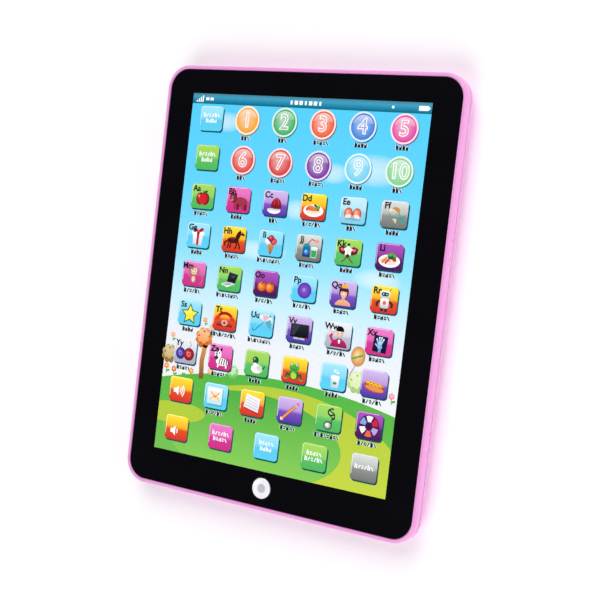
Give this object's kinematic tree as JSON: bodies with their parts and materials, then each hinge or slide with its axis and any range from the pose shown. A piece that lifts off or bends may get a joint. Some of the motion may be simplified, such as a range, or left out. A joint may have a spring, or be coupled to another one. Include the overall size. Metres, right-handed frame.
{
  "type": "kids toy tablet",
  "caption": "Flat battery-powered learning toy shaped like a tablet, with a printed touch sheet in a coloured frame, a home button, a rear speaker and a battery door.",
  "frame": {"origin": "on the table, under the middle of the case", "axes": "+X to the right of the screen, +Y to the top of the screen, +Z out of the screen"},
  "size_m": [0.186, 0.24, 0.016],
  "materials": {
    "pink_case": "moulded, satin gloss",
    "printed_sheet": "printed film, glossy",
    "clear_film": "clear polyester film",
    "tail_film": "flexible circuit",
    "button": "glossy white",
    "board": "solder mask",
    "black_parts": "moulded",
    "white_parts": "moulded",
    "resonator": "dipped",
    "foam": "closed-cell foam",
    "steel": "zinc plated",
    "cone_paper": "pressed paper",
    "cell_sleeve": "printed sleeve",
    "nickel": "nickel plated",
    "screw_steel": "zinc plated",
    "red_lead": "vinyl insulation",
    "black_lead": "vinyl insulation"
  },
  "bodies": {
    "case": {"front_frame": "pink_case", "rear_cover": "pink_case", "graphic_overlay": "printed_sheet", "overlay_adhesive": "clear_film", "membrane_top_film": "clear_film", "membrane_spacer_film": "clear_film", "membrane_bottom_film": "clear_film", "membrane_tail": "tail_film", "main_board": "board", "chip_blob": "black_parts", "filter_capacitor": "black_parts", "ceramic_resonator": "resonator", "membrane_connector": "white_parts", "home_switch_housing": "black_parts", "speaker_gasket": "foam", "speaker_frame": "steel", "speaker_magnet": "steel", "battery_cell_1": "cell_sleeve", "battery_cell_2": "cell_sleeve", "battery_cell_3": "cell_sleeve", "battery_contact_positive": "nickel", "battery_link_1_2": "nickel", "battery_link_2_3": "nickel", "battery_contact_negative": "nickel", "battery_wire_red": "red_lead", "battery_wire_black": "black_lead", "speaker_wire_red": "red_lead", "speaker_wire_black": "black_lead", "case_screw_1": "screw_steel", "case_screw_2": "screw_steel", "case_screw_3": "screw_steel", "case_screw_4": "screw_steel", "case_screw_5": "screw_steel", "case_screw_6": "screw_steel", "board_screw_1": "screw_steel", "board_screw_2": "screw_steel", "board_screw_3": "screw_steel", "board_screw_4": "screw_steel", "speaker_screw_1": "screw_steel", "speaker_screw_2": "screw_steel"},
    "home_button": {"home_button": "button", "home_switch_plunger": "white_parts"},
    "speaker_cone": {"speaker_cone": "cone_paper", "speaker_dust_cap": "cone_paper"},
    "battery_door": {"battery_door": "pink_case"},
    "battery_door_screw": {"battery_door_screw": "screw_steel"}
  },
  "joints": [
    {"name": "home_button_press", "type": "slide", "parent": "case", "child": "home_button", "axis": [0, 0, -1], "range_m": [0, 0.0007], "stiffness_N_per_m": 800},
    {"name": "speaker_cone_travel", "type": "slide", "parent": "case", "child": "speaker_cone", "axis": [0, 0, -1], "range_m": [-0.0004, 0.0004], "stiffness_N_per_m": 900},
    {"name": "battery_door_swing", "type": "hinge", "parent": "case", "child": "battery_door", "pos_m": [0, -0.042, 0.0003], "axis": [-1, 0, 0], "range_deg": [0, 80]},
    {"name": "battery_door_screw_turn", "type": "hinge", "parent": "battery_door", "child": "battery_door_screw", "pos_m": [0, 0.003, 0.003], "axis": [0, 0, 1], "continuous": true}
  ]
}
